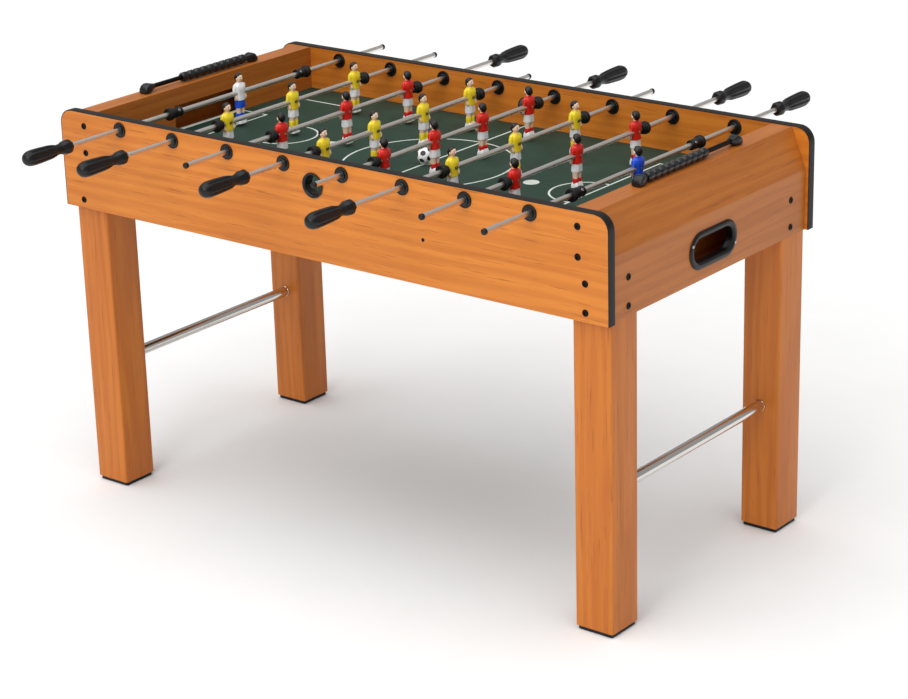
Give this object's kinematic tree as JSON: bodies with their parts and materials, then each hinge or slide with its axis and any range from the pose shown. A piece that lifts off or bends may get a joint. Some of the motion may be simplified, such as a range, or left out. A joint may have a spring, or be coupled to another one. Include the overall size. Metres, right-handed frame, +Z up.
{
  "type": "foosball table",
  "caption": "Free-standing table football game: wooden cabinet on square legs, sliding and turning rods of players, goals with ball return, score counters and a ball.",
  "frame": {"origin": "on the floor under the middle of the table", "axes": "+X along the field from the yellow team's goal to the red team's goal, +Y across it towards the red team's handles, +Z up"},
  "size_m": [1.302, 1.185, 0.808],
  "materials": {
    "cherry_laminate": "satin printed cherry laminate with horizontal grain, black edge band on the side panels",
    "field_green": "satin dark green printed playing board with white markings",
    "black_plastic": "black moulded plastic",
    "score_bead_black": "glossy black ribbed beads",
    "black_metal": "black painted bar and feet",
    "rod_steel": "plated steel rod, rubber bumpers and black end cap",
    "chrome": "chrome plated tube",
    "player_yellow": "painted players in yellow shirts",
    "player_red": "painted players in red shirts",
    "player_white": "painted goalkeeper in a white shirt and blue shorts",
    "player_blue": "painted goalkeeper in a blue shirt and white shorts",
    "ball_white": "white plastic ball"
  },
  "bodies": {
    "cabinet": {"front_side_panel": "cherry_laminate", "back_side_panel": "cherry_laminate", "front_ball_entry_cup": "black_plastic", "back_ball_entry_cup": "black_plastic", "playfield": "field_green", "left_goal_box": "cherry_laminate", "left_end_panel": "cherry_laminate", "left_ball_return_bezel": "black_plastic", "right_goal_box": "cherry_laminate", "right_end_panel": "cherry_laminate", "right_ball_return_bezel": "black_plastic", "back_right_leg": "cherry_laminate", "front_left_leg": "cherry_laminate", "front_right_leg": "cherry_laminate", "back_left_leg": "cherry_laminate", "left_stretcher": "chrome", "right_stretcher": "chrome", "left_score_bar": "black_metal", "right_score_bar": "black_metal"},
    "yellow_goalie_sliding_rod": {"yellow_goalie_rod": "rod_steel"},
    "yellow_goalie_turning_row": {"yellow_goalie_handle": "black_plastic", "yellow_goalie_player": "player_white"},
    "yellow_defence_sliding_rod": {"yellow_defence_rod": "rod_steel"},
    "yellow_defence_turning_row": {"yellow_defence_handle": "black_plastic", "yellow_defence_player_1": "player_yellow", "yellow_defence_player_2": "player_yellow", "yellow_defence_player_3": "player_yellow"},
    "red_attack_sliding_rod": {"red_attack_rod": "rod_steel"},
    "red_attack_turning_row": {"red_attack_handle": "black_plastic", "red_attack_player_1": "player_red", "red_attack_player_2": "player_red", "red_attack_player_3": "player_red"},
    "yellow_midfield_sliding_rod": {"yellow_midfield_rod": "rod_steel"},
    "yellow_midfield_turning_row": {"yellow_midfield_handle": "black_plastic", "yellow_midfield_player_1": "player_yellow", "yellow_midfield_player_2": "player_yellow", "yellow_midfield_player_3": "player_yellow", "yellow_midfield_player_4": "player_yellow"},
    "red_midfield_sliding_rod": {"red_midfield_rod": "rod_steel"},
    "red_midfield_turning_row": {"red_midfield_handle": "black_plastic", "red_midfield_player_1": "player_red", "red_midfield_player_2": "player_red", "red_midfield_player_3": "player_red", "red_midfield_player_4": "player_red"},
    "yellow_attack_sliding_rod": {"yellow_attack_rod": "rod_steel"},
    "yellow_attack_turning_row": {"yellow_attack_handle": "black_plastic", "yellow_attack_player_1": "player_yellow", "yellow_attack_player_2": "player_yellow", "yellow_attack_player_3": "player_yellow"},
    "red_defence_sliding_rod": {"red_defence_rod": "rod_steel"},
    "red_defence_turning_row": {"red_defence_handle": "black_plastic", "red_defence_player_1": "player_red", "red_defence_player_2": "player_red", "red_defence_player_3": "player_red"},
    "red_goalie_sliding_rod": {"red_goalie_rod": "rod_steel"},
    "red_goalie_turning_row": {"red_goalie_handle": "black_plastic", "red_goalie_player": "player_blue"},
    "left_beads": {"left_score_beads": "score_bead_black"},
    "right_beads": {"right_score_beads": "score_bead_black"},
    "rolling_ball": {"ball": "ball_white"}
  },
  "joints": [
    {"name": "yellow_goalie_slide", "type": "slide", "parent": "cabinet", "child": "yellow_goalie_sliding_rod", "axis": [0, 1, 0], "range_m": [-0.108, 0.098]},
    {"name": "yellow_goalie_turn", "type": "hinge", "parent": "yellow_goalie_sliding_rod", "child": "yellow_goalie_turning_row", "pos_m": [-0.488, 0, 0.769], "axis": [0, 1, 0], "continuous": true},
    {"name": "yellow_defence_slide", "type": "slide", "parent": "cabinet", "child": "yellow_defence_sliding_rod", "axis": [0, 1, 0], "range_m": [-0.094, 0.076]},
    {"name": "yellow_defence_turn", "type": "hinge", "parent": "yellow_defence_sliding_rod", "child": "yellow_defence_turning_row", "pos_m": [-0.34857, 0, 0.769], "axis": [0, 1, 0], "continuous": true},
    {"name": "red_attack_slide", "type": "slide", "parent": "cabinet", "child": "red_attack_sliding_rod", "axis": [0, 1, 0], "range_m": [-0.094, 0.076]},
    {"name": "red_attack_turn", "type": "hinge", "parent": "red_attack_sliding_rod", "child": "red_attack_turning_row", "pos_m": [-0.20914, 0, 0.769], "axis": [0, 1, 0], "continuous": true},
    {"name": "yellow_midfield_slide", "type": "slide", "parent": "cabinet", "child": "yellow_midfield_sliding_rod", "axis": [0, 1, 0], "range_m": [-0.054, 0.052]},
    {"name": "yellow_midfield_turn", "type": "hinge", "parent": "yellow_midfield_sliding_rod", "child": "yellow_midfield_turning_row", "pos_m": [-0.06971, 0, 0.769], "axis": [0, 1, 0], "continuous": true},
    {"name": "red_midfield_slide", "type": "slide", "parent": "cabinet", "child": "red_midfield_sliding_rod", "axis": [0, 1, 0], "range_m": [-0.061, 0.045]},
    {"name": "red_midfield_turn", "type": "hinge", "parent": "red_midfield_sliding_rod", "child": "red_midfield_turning_row", "pos_m": [0.06971, 0, 0.769], "axis": [0, 1, 0], "continuous": true},
    {"name": "yellow_attack_slide", "type": "slide", "parent": "cabinet", "child": "yellow_attack_sliding_rod", "axis": [0, 1, 0], "range_m": [-0.085, 0.085]},
    {"name": "yellow_attack_turn", "type": "hinge", "parent": "yellow_attack_sliding_rod", "child": "yellow_attack_turning_row", "pos_m": [0.20914, 0, 0.769], "axis": [0, 1, 0], "continuous": true},
    {"name": "red_defence_slide", "type": "slide", "parent": "cabinet", "child": "red_defence_sliding_rod", "axis": [0, 1, 0], "range_m": [-0.085, 0.085]},
    {"name": "red_defence_turn", "type": "hinge", "parent": "red_defence_sliding_rod", "child": "red_defence_turning_row", "pos_m": [0.34857, 0, 0.769], "axis": [0, 1, 0], "continuous": true},
    {"name": "red_goalie_slide", "type": "slide", "parent": "cabinet", "child": "red_goalie_sliding_rod", "axis": [0, 1, 0], "range_m": [-0.095, 0.111]},
    {"name": "red_goalie_turn", "type": "hinge", "parent": "red_goalie_sliding_rod", "child": "red_goalie_turning_row", "pos_m": [0.488, 0, 0.769], "axis": [0, 1, 0], "continuous": true},
    {"name": "left_score_slide", "type": "slide", "parent": "cabinet", "child": "left_beads", "axis": [0, 1, 0], "range_m": [-0.079, 0]},
    {"name": "right_score_slide", "type": "slide", "parent": "cabinet", "child": "right_beads", "axis": [0, 1, 0], "range_m": [0, 0.079]},
    {"name": "ball_roll_across", "type": "slide", "parent": "cabinet", "child": "rolling_ball", "axis": [0, 1, 0], "range_m": [-0.286, 0.306]}
  ]
}
